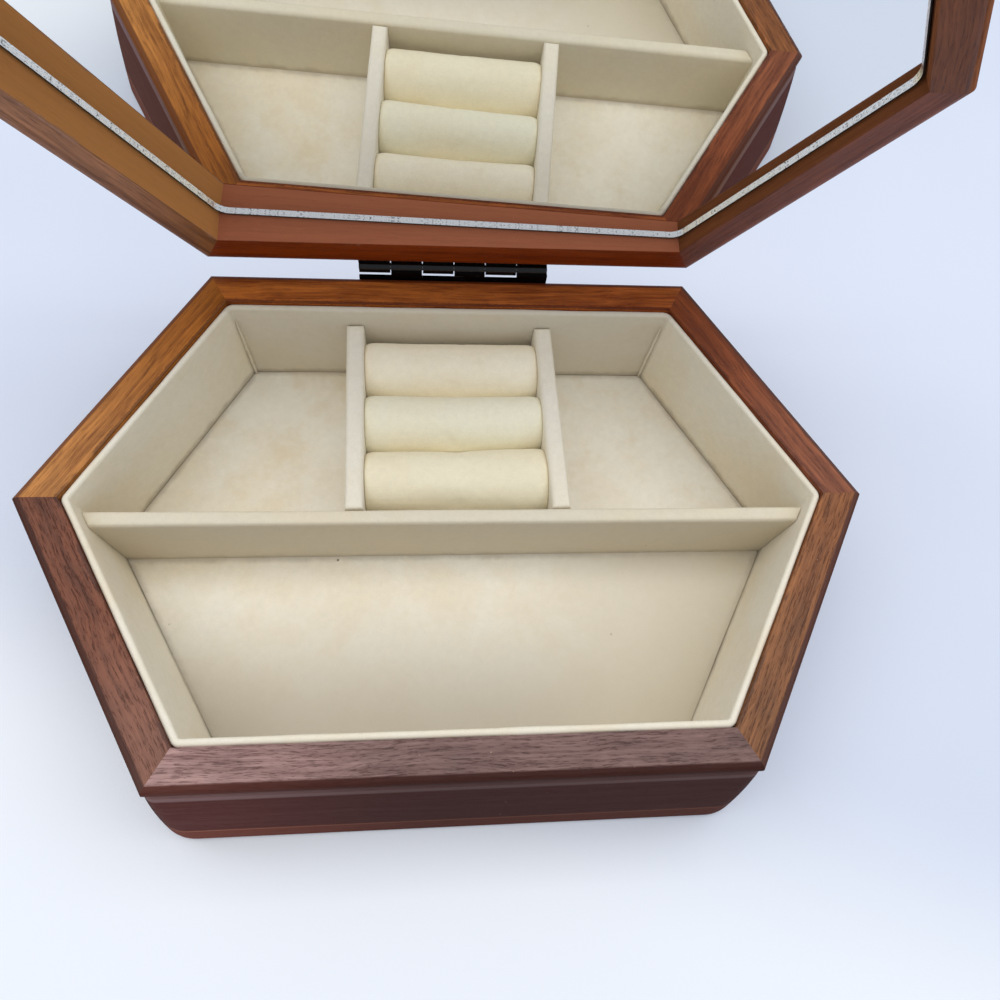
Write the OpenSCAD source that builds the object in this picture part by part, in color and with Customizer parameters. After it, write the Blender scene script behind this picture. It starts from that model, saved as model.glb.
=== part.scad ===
// Jewellery and vanity box in the shape of a long hexagon, with a mirror inside its hinged lid.
// Millimetres, +Z up, +Y towards the hinge. The origin is the middle of the underside.
// All six corners are 120 degrees, so every board is mitred at 30 degrees.
// The lid is drawn open, as it stands at rest.

/* [Case] */
// Length of the front and back, along the outer edge of the rim's flat top
long_side = 162; // [140:1:190]
// Length of each of the four slanting sides, along the same edge
short_side = 92; // [78:1:110]
// Height of the case, from the table to the rim
base_h = 54; // [46:1:64]
// Width of the flat top of each case board
rim_w = 8.9; // [8:0.1:11]
// Radius of the soft outer edge of the rim
edge_round = 2.6; // [2:0.1:3]
// Height of the lip round the top of the case
lip_h = 4.2; // [3.6:0.1:5]
// How far the neck under the lip is cut back from the lip
neck_in = 0.8; // [0.4:0.1:1.2]
// Radius of the cove between the neck and the flared side
cove_r = 3; // [2.5:0.1:3.5]
// How far the foot spreads past the outer edge of the rim's flat top
flare = 13.8; // [11.8:0.2:15.8]
// Bulge of the flared side past a straight line
side_bulge = 0.4; // [0:0.1:1]
// Radius of the rounded foot
foot_round = 1.8; // [1:0.1:3]

/* [Bottom] */
// Thickness of the plywood bottom panel
panel_t = 5; // [3:0.5:6]
// Thickness of the felt under the bottom panel
felt_t = 1.2; // [1:0.1:2]
// Depth of the rebate that the bottom panel is let into
rebate_w = 4; // [3:0.5:5]
// Play between the bottom panel and its rebate
panel_play = 0.15; // [0.1:0.05:0.3]
// Thickness of the false floor under the lining
false_floor_t = 3; // [2:0.5:4]
// Width of each batten that carries the false floor
batten_w = 14; // [10:1:20]
// Height of the battens
batten_h = 3.8; // [2:0.2:8]
// Distance from the ends of the battens to the case boards
batten_end_gap = 8; // [4:1:12]
// Distance between the middle batten and each outer batten
batten_pitch = 62; // [50:1:66]

/* [Lining] */
// Gap between the case boards and the lining
liner_gap = 0.35; // [0.3:0.05:0.6]
// Thickness of the covered card walls
liner_t = 2.2; // [1.8:0.1:2.6]
// Depth of the lining's top edge below the rim
liner_drop = 1.6; // [1:0.1:3]
// Thickness of the covered floor card
floor_t = 2; // [1.5:0.1:2.5]
// Play between the lining's loose pieces
liner_play = 0.2; // [0.1:0.05:0.3]

/* [Dividers] */
// Thickness of the long divider
divider_t = 5; // [4:0.1:6]
// Distance from the middle of the box forward to the long divider's back face
divider_forward = 1.2; // [0.5:0.1:4]
// Depth of the dividers' top edges below the rim
divider_drop = 8; // [6:0.5:12]
// Radius of the dividers' top edges
divider_round = 1.8; // [1:0.1:1.9]
// Thickness of the two dividers beside the ring rolls
ring_divider_t = 5.5; // [4:0.1:6]
// Clear width of the ring bay between those dividers
ring_bay_w = 59.8; // [54:0.2:66]
// Radius of the rounded back top corner of the ring dividers
ring_divider_end_round = 4; // [2:0.5:6]
// Angle by which the ring dividers are turned, their back ends to the left
bay_turn = 1.6; // [0:0.2:2.4]

/* [Ring rolls] */
// Width of each ring roll, front to back
roll_w = 20.7; // [18:0.1:21.5]
// Spacing of the ring rolls, front to back
roll_pitch = 21; // [20.9:0.1:21.8]
// Play between the front roll and the long divider
roll_front_gap = 3.2; // [0.6:0.1:4]
// Depth of the rolls' crowns below the dividers' tops
roll_drop = 2.5; // [1:0.1:6]
// Play at each end of a roll
roll_end_gap = 0.4; // [0.3:0.1:1]

/* [Lid] */
// Height of the lid frame
lid_h = 22; // [21:0.5:28]
// Width of the lid frame's face that meets the rim
lid_rail_w = 9.1; // [8:0.1:11]
// Radius of the rounded top outer edge of the lid
lid_round = 6; // [4:0.5:7]
// Gap between the closed lid and the rim
joint_gap = 0.4; // [0.35:0.05:0.6]
// Thickness of the lid's panel
lid_panel_t = 4.5; // [3.5:0.1:5]
// Depth of the panel's outer face below the top of the lid frame
panel_sink = 1.7; // [1:0.1:2.5]
// Radius of the lid rails' outer edge at the joint
lid_edge_round = 3.9; // [2.6:0.1:5]
// Depth of the groove that holds the lid panel
groove_w = 4; // [3:0.5:5]
// Angle between the lid and the rim as the lid stands open
open_angle = 82; // [70:1:95]

/* [Mirror] */
// Thickness of the mirror glass
glass_t = 3; // [2:0.1:3]
// Depth of the middle of the mirror below the lid frame's face
mirror_depth = 7.3; // [6.4:0.1:8]
// Angle by which the mirror sits askew, deeper at its left end
mirror_skew = 1.7; // [0:0.1:2]
// Gap between the mirror's edge and the lid frame
mirror_gap = 0.6; // [0.5:0.05:1.2]
// Radius of the mirror's corners
mirror_corner = 5; // [2:0.5:8]
// Width of the ground arris round the mirror
arris_w = 0.4; // [0.2:0.1:1.2]
// Depth of that arris
arris_d = 0.4; // [0.2:0.1:1.2]

/* [Hinge] */
// Length of the hinge
hinge_l = 65.2; // [50:0.2:80]
// Number of knuckles, half of them on each leaf
knuckles = 6; // [4:2:8]
// Outside diameter of the knuckles
knuckle_d = 4.4; // [4:0.1:5]
// How far the knuckles stand off behind the case
pin_back = 0.7; // [0:0.1:0.7]
// Height of the pin's axis above the middle of the joint
pin_up = 1.8; // [0:0.1:2]
// Diameter of the hinge pin
pin_d = 2.3; // [1.8:0.1:2.6]
// Running clearance all round the pin
pin_clearance = 0.05; // [0.02:0.01:0.08]
// Gap between neighbouring knuckles
knuckle_gap = 0.35; // [0.3:0.05:0.6]
// Thickness of the hinge leaves
leaf_t = 1.1; // [0.8:0.1:1.2]
// Height of each leaf from the pin's axis
leaf_h = 13; // [11:0.5:14]
// Depth of the notches in each leaf that clear the other leaf's knuckles
notch_h = 2.2; // [2:0.1:4]
// Diameter of the screws' shanks
screw_d = 2; // [1.6:0.1:2.4]
// Diameter of the screws' heads
screw_head_d = 4; // [3.4:0.1:4.4]
// Length of the screws
screw_l = 7; // [5:0.5:8]
// Distance between neighbouring screws
screw_pitch = 24; // [18:1:26]
// Play between the screws, their pilot holes and the leaves
screw_play = 0.05; // [0.03:0.01:0.1]

/* [Hidden] */

$fn = 48;
eps = 0.01;
mitre = 30;
half_long = long_side / 2;
half_depth = short_side * cos(mitre);
half_width = half_long + short_side * sin(mitre);

// The sides in order
SIDES = ["front", "right_front", "right_back", "back", "left_back", "left_front"];
function side_number(name) = search([name], SIDES)[0];
FRONT = side_number("front");
RIGHT_FRONT = side_number("right_front");
RIGHT_BACK = side_number("right_back");
BACK = side_number("back");
LEFT_BACK = side_number("left_back");
LEFT_FRONT = side_number("left_front");
side_turn = [0, 60, 120, 180, 240, 300];
slant_mid = [(half_long + half_width) / 2, half_depth / 2];
side_mid = [
    [0, -half_depth], [slant_mid.x, -slant_mid.y], slant_mid,
    [0, half_depth], [-slant_mid.x, slant_mid.y], -slant_mid,
];
function side_length(side) = side % 3 == 0 ? long_side : short_side;

// Distance past the rim's flat top at which no board reaches, and its like inwards
outside = 1.5 * flare;
inside = 2 * rim_w;

// The case's outline moved inwards by w, as the six corners
function corner(w, right, back) =
    let (dx = w * tan(mitre), x = right * (half_long - dx), y = back * (half_depth - w)) [x, y];
function vertex(w, right) = [right * (half_width - w / cos(mitre)), 0];
function outline(w) = [
    corner(w, -1, -1), corner(w, 1, -1), vertex(w, 1),
    corner(w, 1, 1), corner(w, -1, 1), vertex(w, -1),
];

// Points on an arc about a centre
function arc(centre, r, from, to, steps) =
    [for (i = [0:steps]) let (a = from + (to - from) * i / steps) centre + r * [cos(a), sin(a)]];

// Points on the shallow arc from p to q that bulges to the right of the way by sag
function bow(p, q, sag, steps) =
    let (
        d = q - p,
        chord = norm(d),
        across = [d.y, -d.x] / chord
    )
    [for (i = [0:steps]) let (u = i / steps) p + d * u + across * sag * 4 * u * (1 - u)];

// Section of a case board: the first coordinate runs inwards, the second upwards
neck_x = neck_in - edge_round;
lip_low = base_h - lip_h;
cove_end = 30;
cove_c = [neck_x - cove_r, lip_low - cove_r / 4];
cove_low = cove_c + cove_r * [sin(cove_end), -cos(cove_end)];
panel_top = felt_t + panel_t;
flared_side = concat(
    [[neck_x, lip_low]],
    arc(cove_c, cove_r, 0, cove_end - 90, 6),
    bow(cove_low, [-flare, foot_round + 1], side_bulge, 8),
    arc([-flare + foot_round, foot_round], foot_round, 180, 270, 5)
);
case_section = concat(
    [[rim_w, base_h]],
    arc([0, base_h - edge_round], edge_round, 90, 180, 8),
    [[-edge_round, lip_low]],
    flared_side,
    [
        [rim_w - rebate_w, 0], [rim_w - rebate_w, panel_top],
        [rim_w, panel_top],
    ]
);

// Section of a lid rail, with the face that meets the rim at height 0
groove_low = lid_h - panel_sink - lid_panel_t;
lid_section = concat(
    [[lid_rail_w, 0]],
    arc([lid_edge_round - edge_round, lid_edge_round], lid_edge_round, 270, 180, 8),
    arc([lid_round - edge_round, lid_h - lid_round], lid_round, 180, 90, 10),
    [
        [lid_rail_w, lid_h], [lid_rail_w, groove_low + lid_panel_t],
        [lid_rail_w - groove_w, groove_low + lid_panel_t],
        [lid_rail_w - groove_w, groove_low], [lid_rail_w, groove_low],
    ]
);

// Section of a lining wall, standing on the false floor
liner_out = rim_w + liner_gap;
liner_in = liner_out + liner_t;
liner_top = base_h - liner_drop;
false_floor_z = panel_top + batten_h;
floor_low = false_floor_z + false_floor_t;
floor_z = floor_low + floor_t;
liner_section = concat(
    [[liner_out, floor_low], [liner_in, floor_low]],
    arc([(liner_out + liner_in) / 2, liner_top - liner_t / 2], liner_t / 2, 0, 180, 10)
);

// Hinge places, with the lid closed
leaf_y = half_depth + edge_round;
pin_y = leaf_y + pin_back + knuckle_d / 2;
pin_z = base_h + joint_gap / 2 + pin_up;
pitch = hinge_l / knuckles;
screw_z = (leaf_h + notch_h) / 2;

// Ring bay and dividers
divider_back = -divider_forward;
divider_top = base_h - divider_drop;
ring_wall = half_depth - liner_in;
ring_divider_x = ring_bay_w / 2;

// Ring rolls
roll_top = divider_top - roll_drop;
roll_r = roll_w / 2;
roll_arc_z = roll_top - roll_r;
roll_l = ring_bay_w - 2 * roll_end_gap;
roll_first_y = divider_back + roll_front_gap + roll_r;

// Colours
wood_warm = [0.55, 0.26, 0.10];
wood_red = [0.42, 0.17, 0.09];
wood_dark = [0.30, 0.16, 0.13];
cream = [0.83, 0.79, 0.68];
roll_cream = [0.89, 0.83, 0.66];
black_metal = [0.10, 0.10, 0.10];

module on_side(side) {
    translate([side_mid[side].x, side_mid[side].y, 0]) rotate([0, 0, side_turn[side]]) children();
}

// A bar of the given section along one side, with a mitre at each end
module mitred_bar(side, section) {
    len = side_length(side);
    out = outside * tan(mitre);
    in = inside * tan(mitre);
    on_side(side) intersection() {
        rotate([90, 0, 90]) linear_extrude(height = len + 4 * outside, center = true) polygon(section);
        translate([0, 0, -base_h]) linear_extrude(height = 3 * base_h) polygon([
            [-len / 2 - out, -outside], [len / 2 + out, -outside],
            [len / 2 - in, inside], [-len / 2 + in, inside],
        ]);
    }
}

// Turns what is drawn for the closed lid about the pin's axis to where it rests
module opened() {
    translate([0, pin_y, pin_z]) rotate([-open_angle, 0, 0]) translate([0, -pin_y, -pin_z]) children();
}

// Stands what is drawn with the lid's face at height 0 on the rim
module in_lid() {
    opened() translate([0, 0, base_h + joint_gap]) children();
}

module plate(w, z, t) {
    translate([0, 0, z]) linear_extrude(height = t) polygon(outline(w));
}

// The same with its corners rounded to radius r
module soft_plate(w, r, z, t) {
    centres = outline(w + r);
    translate([0, 0, z]) linear_extrude(height = t) polygon([
        for (i = [0:5]) each arc(centres[i], r, 60 * i - 150, 60 * i - 90, 4)
    ]);
}

// Case boards and bottom

// What is cut from a board's ends, below the lip, to turn the case's corners round
module corner_waste(side) {
    on_side(side) for (end = [-1, 1]) translate([end * side_length(side) / 2, 0, 0]) difference() {
        translate([end > 0 ? 0 : -outside, -outside, -1]) cube([outside, outside, lip_low + 1]);
        rotate_extrude() polygon(concat(
            [[0, -2]],
            [[flare - foot_round, -2]],
            [for (i = [len(flared_side) - 1:-1:0]) [-flared_side[i].x, flared_side[i].y]],
            [[-neck_x, lip_low + 1], [0, lip_low + 1]]
        ));
    }
}

module round_cornered_bar(side) {
    difference() {
        mitred_bar(side, case_section);
        corner_waste(side);
    }
}

module case_board(side, tone) {
    color(tone) round_cornered_bar(side);
}

module back_board() {
    color(wood_warm) difference() {
        round_cornered_bar(BACK);
        translate([-hinge_l / 2 - liner_play, leaf_y, pin_z - leaf_h - liner_play])
            cube([hinge_l + 2 * liner_play, outside, leaf_h + knuckle_d]);
        screw_holes(-1);
    }
}

module bottom_panel() {
    color([0.72, 0.58, 0.40]) plate(rim_w - rebate_w + panel_play, felt_t, panel_t);
}

module base_felt() {
    color([0.20, 0.16, 0.14]) plate(rim_w - rebate_w + panel_play, 0, felt_t);
}

module false_floor() {
    color([0.66, 0.54, 0.38]) plate(liner_out, false_floor_z, false_floor_t);
}

module floor_battens() {
    batten_l = 2 * (half_depth - rim_w - batten_end_gap);
    color([0.70, 0.56, 0.38]) for (i = [-1:1])
        translate([i * batten_pitch - batten_w / 2, -batten_l / 2, panel_top])
            cube([batten_w, batten_l, batten_h]);
}

// Lining

module liner_wall(side) {
    color(cream) mitred_bar(side, liner_section);
}

module liner_floor() {
    color(cream) plate(liner_in + liner_play, floor_low, floor_t);
}

// A board of thickness t standing on the lining floor, from -l/2 to l/2 along x
module divider_board(l, t) {
    h = divider_top - floor_z;
    r = min(divider_round, t / 2 - 0.1);
    rotate([90, 0, 90]) linear_extrude(height = l, center = true) polygon(concat(
        [[-t / 2, 0], [t / 2, 0]],
        arc([t / 2 - r, h - r], r, 0, 90, 8),
        arc([r - t / 2, h - r], r, 90, 180, 8)
    ));
}

module long_divider() {
    color(cream) intersection() {
        translate([0, divider_back - divider_t / 2, floor_z]) divider_board(2 * half_width, divider_t);
        plate(liner_in + liner_play, floor_z, base_h);
    }
}

module ring_divider(side) {
    l = ring_wall - divider_back - 4 * liner_play;
    h = divider_top - floor_z;
    r = ring_divider_end_round;
    x = side * (ring_divider_x + ring_divider_t / 2);
    front = divider_back + 2 * liner_play;
    color(cream) translate([x, front, floor_z]) rotate([0, 0, bay_turn]) translate([0, l / 2, 0]) intersection() {
        rotate([0, 0, 90]) divider_board(l, ring_divider_t);
        rotate([90, 0, 90]) linear_extrude(height = 2 * ring_divider_t, center = true) polygon(concat(
            [[-l / 2, -eps], [l / 2, -eps]],
            arc([l / 2 - r, h - r], r, 0, 90, 8),
            [[-l / 2, h]]
        ));
    }
}

// Ring rolls: a half-round crown on drawn-in sides, puffed towards each end
roll_steps = 14;
side_steps = 4;
end_steps = 5;
puff_l = 3.5;
end_scale = 0.9;
waist = 0.5;

// Half of a roll's section, from the crown to the floor, as y and z above the floor
function roll_half() = concat(
    [for (i = [0:roll_steps / 2]) let (a = 90 - 180 * i / roll_steps)
        [roll_r * cos(a), roll_arc_z - floor_z + roll_r * sin(a)]],
    [for (i = [1:side_steps]) let (u = i / side_steps)
        [roll_r - waist * sin(180 * u) - 1.5 * pow(u, 6), (roll_arc_z - floor_z) * (1 - u)]]
);
function reversed(list) = [for (i = [len(list) - 1:-1:0]) list[i]];
function roll_section() = let (half = roll_half())
    concat(half, [for (p = reversed([for (i = [1:len(half) - 1]) half[i]])) [-p.x, p.y]]);

// Places along a roll, closer together towards its ends, and the scale of the section there
function roll_stations() = let (
    near = [for (i = [0:end_steps]) let (a = 90 * i / end_steps) puff_l * (1 - cos(a))],
    half = [for (d = near) -roll_l / 2 + d]
) concat(half, [-roll_l / 6, roll_l / 6], [for (x = reversed(half)) -x]);
function roll_scale(x) = let (d = roll_l / 2 - abs(x), u = min(1, d / puff_l))
    end_scale + (1 - end_scale) * sqrt(1 - (1 - u) * (1 - u));

module ring_roll(i) {
    section = roll_section();
    stations = roll_stations();
    n = len(section);
    m = len(stations);
    points = [for (x = stations, p = section) let (s = roll_scale(x)) [x, p.x * s, p.y * s]];
    sides = [for (j = [0:m - 2], k = [0:n - 1]) let (
        a = j * n + k, b = j * n + (k + 1) % n, c = b + n, d = a + n
    ) each [[a, c, b], [a, d, c]]];
    caps = concat(
        [for (k = [1:n - 2]) [0, k, k + 1]],
        [for (k = [1:n - 2]) [(m - 1) * n, (m - 1) * n + k + 1, (m - 1) * n + k]]
    );
    y = roll_first_y + i * roll_pitch;
    color(roll_cream) translate([(divider_back - y) * tan(bay_turn), y, floor_z])
        polyhedron(points = points, faces = concat(sides, caps), convexity = 4);
}

// Lid

module lid_rail(side, tone) {
    color(tone) in_lid() mitred_bar(side, lid_section);
}

module lid_back_rail() {
    color(wood_red) difference() {
        in_lid() mitred_bar(BACK, lid_section);
        opened() screw_holes(1);
    }
}

module lid_panel() {
    color(wood_warm) in_lid() plate(lid_rail_w - groove_w + panel_play, groove_low, lid_panel_t);
}

// Lays what is drawn with the mirror's face at height 0 askew in the lid
module in_mirror() {
    in_lid() translate([0, 0, mirror_depth]) rotate([0, mirror_skew, 0]) children();
}

module mirror_glass() {
    color([0.80, 0.84, 0.86]) in_mirror() hull() {
        soft_plate(lid_rail_w + mirror_gap + arris_w, mirror_corner - arris_w, 0, glass_t);
        soft_plate(lid_rail_w + mirror_gap, mirror_corner, arris_d, glass_t - arris_d);
    }
}

module mirror_bed() {
    low = mirror_depth - half_width * sin(mirror_skew);
    color([0.35, 0.30, 0.26]) difference() {
        in_lid() plate(lid_rail_w + 2 * mirror_gap, low, groove_low - low);
        in_mirror() translate([-half_width, -half_depth, glass_t - lid_h])
            cube([2 * half_width, 2 * half_depth, lid_h]);
    }
}

// Hinge

module screw_places(up) {
    for (i = [-1:1]) translate([i * screw_pitch, leaf_y + leaf_t, pin_z + up * screw_z])
        rotate([90, 0, 0]) children();
}

module screw_shape(play) {
    cylinder(h = screw_l, d = screw_d + 2 * play);
    translate([0, 0, -eps]) cylinder(h = (screw_head_d - screw_d) / 2, d1 = screw_head_d + 2 * play, d2 = screw_d);
}

module screw_holes(up) {
    screw_places(up) screw_shape(screw_play);
}

module screws(up) {
    color(black_metal) screw_places(up) difference() {
        screw_shape(0);
        translate([-screw_head_d, -0.25, -0.5]) cube([2 * screw_head_d, 0.5, 0.9]);
    }
}

// One leaf: the first knuckle at the left end belongs to the lid's leaf
module leaf(up, first) {
    from = up > 0 ? 0 : -leaf_h;
    difference() {
        union() {
            translate([-hinge_l / 2, leaf_y, pin_z + from]) cube([hinge_l, leaf_t, leaf_h]);
            for (i = [first:2:knuckles - 1])
                translate([-hinge_l / 2 + i * pitch + knuckle_gap / 2, pin_y, pin_z]) rotate([0, 90, 0])
                    cylinder(h = pitch - knuckle_gap, d = knuckle_d);
        }
        for (i = [1 - first:2:knuckles - 1])
            translate([-hinge_l / 2 + i * pitch - knuckle_gap / 2, leaf_y - eps, pin_z - notch_h])
                cube([pitch + knuckle_gap, knuckle_d, 2 * notch_h]);
        translate([-hinge_l, pin_y, pin_z]) rotate([0, 90, 0])
            cylinder(h = 2 * hinge_l, d = pin_d + 2 * pin_clearance);
        screw_holes(up);
    }
}

module hinge_base_leaf() {
    color(black_metal) leaf(-1, 1);
}

module hinge_lid_leaf() {
    color(black_metal) opened() leaf(1, 0);
}

module hinge_pin() {
    color([0.25, 0.25, 0.25]) translate([-hinge_l / 2, pin_y, pin_z]) rotate([0, 90, 0])
        cylinder(h = hinge_l, d = pin_d);
}

case_board(FRONT, wood_dark);  // front_board
case_board(RIGHT_FRONT, wood_dark);  // right_front_board
case_board(RIGHT_BACK, wood_red);  // right_back_board
back_board();
case_board(LEFT_BACK, wood_warm);  // left_back_board
case_board(LEFT_FRONT, wood_dark);  // left_front_board
bottom_panel();
base_felt();
false_floor();
floor_battens();
liner_wall(FRONT);  // liner_front
liner_wall(RIGHT_FRONT);  // liner_right_front
liner_wall(RIGHT_BACK);  // liner_right_back
liner_wall(BACK);  // liner_back
liner_wall(LEFT_BACK);  // liner_left_back
liner_wall(LEFT_FRONT);  // liner_left_front
liner_floor();
long_divider();
ring_divider(-1);  // left_ring_divider
ring_divider(1);  // right_ring_divider
ring_roll(0);  // ring_roll_front
ring_roll(1);  // ring_roll_middle
ring_roll(2);  // ring_roll_back
hinge_base_leaf();
hinge_pin();
screws(-1);  // base_leaf_screws
lid_rail(FRONT, wood_red);  // lid_front_rail
lid_rail(RIGHT_FRONT, wood_red);  // lid_right_front_rail
lid_rail(RIGHT_BACK, wood_red);  // lid_right_back_rail
lid_back_rail();
lid_rail(LEFT_BACK, wood_warm);  // lid_left_back_rail
lid_rail(LEFT_FRONT, wood_warm);  // lid_left_front_rail
lid_panel();
mirror_glass();
mirror_bed();
hinge_lid_leaf();
opened() screws(1);  // lid_leaf_screws
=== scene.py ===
"""Long hexagonal vanity box with flared wooden sides, a cream lined tray and a mirror inside its open lid."""
from math import cos, radians, sin, tan

import bmesh
import bpy
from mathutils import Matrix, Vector


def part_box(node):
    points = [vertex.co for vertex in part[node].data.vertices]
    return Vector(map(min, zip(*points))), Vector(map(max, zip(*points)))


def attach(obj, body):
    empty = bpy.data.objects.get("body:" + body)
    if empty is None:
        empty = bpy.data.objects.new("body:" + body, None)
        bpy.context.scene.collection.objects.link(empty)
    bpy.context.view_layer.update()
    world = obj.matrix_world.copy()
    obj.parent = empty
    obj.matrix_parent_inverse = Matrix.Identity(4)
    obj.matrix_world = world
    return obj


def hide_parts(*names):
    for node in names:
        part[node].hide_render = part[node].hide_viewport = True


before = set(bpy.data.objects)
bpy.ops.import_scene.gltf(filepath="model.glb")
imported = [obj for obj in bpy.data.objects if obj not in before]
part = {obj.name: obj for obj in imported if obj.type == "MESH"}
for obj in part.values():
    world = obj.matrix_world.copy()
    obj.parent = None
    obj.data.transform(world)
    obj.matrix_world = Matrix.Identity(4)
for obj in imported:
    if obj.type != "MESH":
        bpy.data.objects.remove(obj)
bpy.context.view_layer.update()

# Sizes in metres, as in the part's source
MM = 0.001
MITRE = radians(30)
HALF_LONG = 81 * MM
HALF_DEPTH = 92 * cos(MITRE) * MM
HALF_WIDTH = 127 * MM
RIM_Z = 54 * MM
RIM_W = 8.9 * MM
LINER_OUT = 9 * MM
LINER_IN = 11.2 * MM
LINER_TOP = 52.9 * MM
FLOOR_LOW = 13 * MM
FLOOR_Z = 15 * MM
DIVIDER_TOP = 46 * MM
DIVIDER_BACK = -1.2 * MM
DIVIDER_T = 5 * MM
RING_DIVIDER_T = 5.9 * MM
RING_BAY_HALF = 29.9 * MM
BAY_TURN = 1.6
BAY_SHIFT = 0.5 * MM
ROLL_FRONT = 2 * MM
ROLL_PITCH = 21 * MM
ROLL_SWELL = (1.05, 1.03, 1.045)
ROLL_CROOKED = 1.6 * MM
ROLL_PUFF = 0.6 * MM
OPEN_ANGLE = 82
PIN = Vector((0, 85.174 * MM, 56 * MM))
LID_FACE = RIM_Z + 0.4 * MM
MIRROR_DEPTH = 7.3 * MM
MIRROR_SKEW = 1.75
SILVER_BEHIND = 1.1 * MM
MIRROR_EDGE = 9.7 * MM
MIRROR_T = 3 * MM

# Heights on the case's flared side: the lip's lower end, the painted highlight strip, the ridge's painted highlight
# line and the foot's soft upper end
LIP_LOW = (49.2 * MM, 49.6 * MM)
HIGHLIGHT_STRIP = (44.8 * MM, 46.6 * MM)
RIDGE_HIGHLIGHT = (13 * MM, 13.4 * MM)
FOOT_TOP = (15.5 * MM, 12 * MM)

# Half the length of a slanting side, and the lid rail's width
HALF_SLANT = 46 * MM
LID_RAIL_W = 9.1 * MM

# How uneven covered card is, and how thin it is sliced to waver
CARD_WAVER = 0.4 * MM
CARD_SLICE = 4 * MM

# The photograph's camera, with its lens for a sensor 36 mm wide
CAMERA_SPOT = (-0.008183, -0.088963, 0.259926)
CAMERA_TILT = (23.046, -4.762, -2.404)
SENSOR_W = 36
LENS = 26.42

# Light: the lamp's size, watts and place, and the sky's colour and strength
LAMP_SPOT = (0.0, 0.2, 1.25)
LAMP_SIZE = (2.6, 0.8)
LAMP_WATTS = 14
LAMP_COLOUR = (1.0, 0.99, 0.97)
SKY_COLOUR = (243, 247, 255)
SKY_STRENGTH = 0.56

SIDE_TURN = {"front": 0, "right_front": 60, "right_back": 120, "back": 180, "left_back": 240, "left_front": 300}
SLANT = Vector(((HALF_LONG + HALF_WIDTH) / 2, HALF_DEPTH / 2, 0))
SIDE_MID = {
    "front": Vector((0, -HALF_DEPTH, 0)), "right_front": Vector((SLANT.x, -SLANT.y, 0)),
    "right_back": SLANT.copy(), "back": Vector((0, HALF_DEPTH, 0)),
    "left_back": Vector((-SLANT.x, SLANT.y, 0)), "left_front": -SLANT,
}


# Building blocks of the materials

def paint(red, green, blue):
    """A colour as it reads on a screen, 0 to 255, made linear."""
    linear = [((c / 255 + 0.055) / 1.055) ** 2.4 if c > 10 else c / 3295 for c in (red, green, blue)]
    return (*linear, 1)


def wire_in(tree, made, wired):
    """Gives a node's sockets their values, or what is wired into them."""
    for name, value in wired.items():
        if isinstance(value, bpy.types.NodeSocket):
            tree.links.new(value, made.inputs[name])
        else:
            made.inputs[name].default_value = value


def put(tree, kind, wired=None, **settings):
    """Adds one shader node with its settings and its sockets."""
    made = tree.nodes.new("ShaderNode" + kind)
    for name, value in settings.items():
        setattr(made, name, value)
    wire_in(tree, made, wired or {})
    return made


def calc(tree, how, a, b=0.5, clamp=False):
    return put(tree, "Math", {0: a, 1: b}, operation=how, use_clamp=clamp).outputs[0]


def scaled(tree, value, by, plus):
    return put(tree, "Math", {0: value, 1: by, 2: plus}, operation="MULTIPLY_ADD").outputs[0]


def dot(tree, place, way):
    return put(tree, "VectorMath", {0: place, 1: way}, operation="DOT_PRODUCT").outputs["Value"]


def step(tree, value, low, high):
    """0 below low, 1 above high and soft in between."""
    return put(tree, "MapRange", {"Value": value, "From Min": low, "From Max": high},
               interpolation_type="SMOOTHSTEP").outputs["Result"]


def tint(tree, amount, below, above, how="MIX"):
    return put(tree, "Mix", {0: amount, 6: below, 7: above}, data_type="RGBA", blend_type=how).outputs[2]


def cover(tree, mask, share, colour, screen_colour):
    """Lays a colour over another where the mask is 1, at most by this share."""
    return tint(tree, calc(tree, "MULTIPLY", mask, share), colour, paint(*screen_colour))


def stretched(tree, place, x, y, z):
    return put(tree, "VectorMath", {0: place, 1: (x, y, z)}, operation="MULTIPLY").outputs[0]


def noise(tree, place, scale, detail, roughness, seed):
    return put(tree, "TexNoise", {"Vector": place, "W": seed, "Scale": scale, "Detail": detail, "Roughness": roughness},
               noise_dimensions="4D").outputs["Fac"]


def effect(name, given, gives):
    """Starts a shader node group with named inputs and outputs."""
    tree = bpy.data.node_groups.new(name, "ShaderNodeTree")
    for label, kind, value in given:
        socket = tree.interface.new_socket(label, in_out="INPUT", socket_type="NodeSocket" + kind)
        if value is not None:
            socket.default_value = value
    for label, kind in gives:
        tree.interface.new_socket(label, in_out="OUTPUT", socket_type="NodeSocket" + kind)
    return tree, tree.nodes.new("NodeGroupInput").outputs, tree.nodes.new("NodeGroupOutput").inputs


def wire_out(tree, results, sockets):
    for name, socket in results.items():
        tree.links.new(socket, sockets[name])


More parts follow.
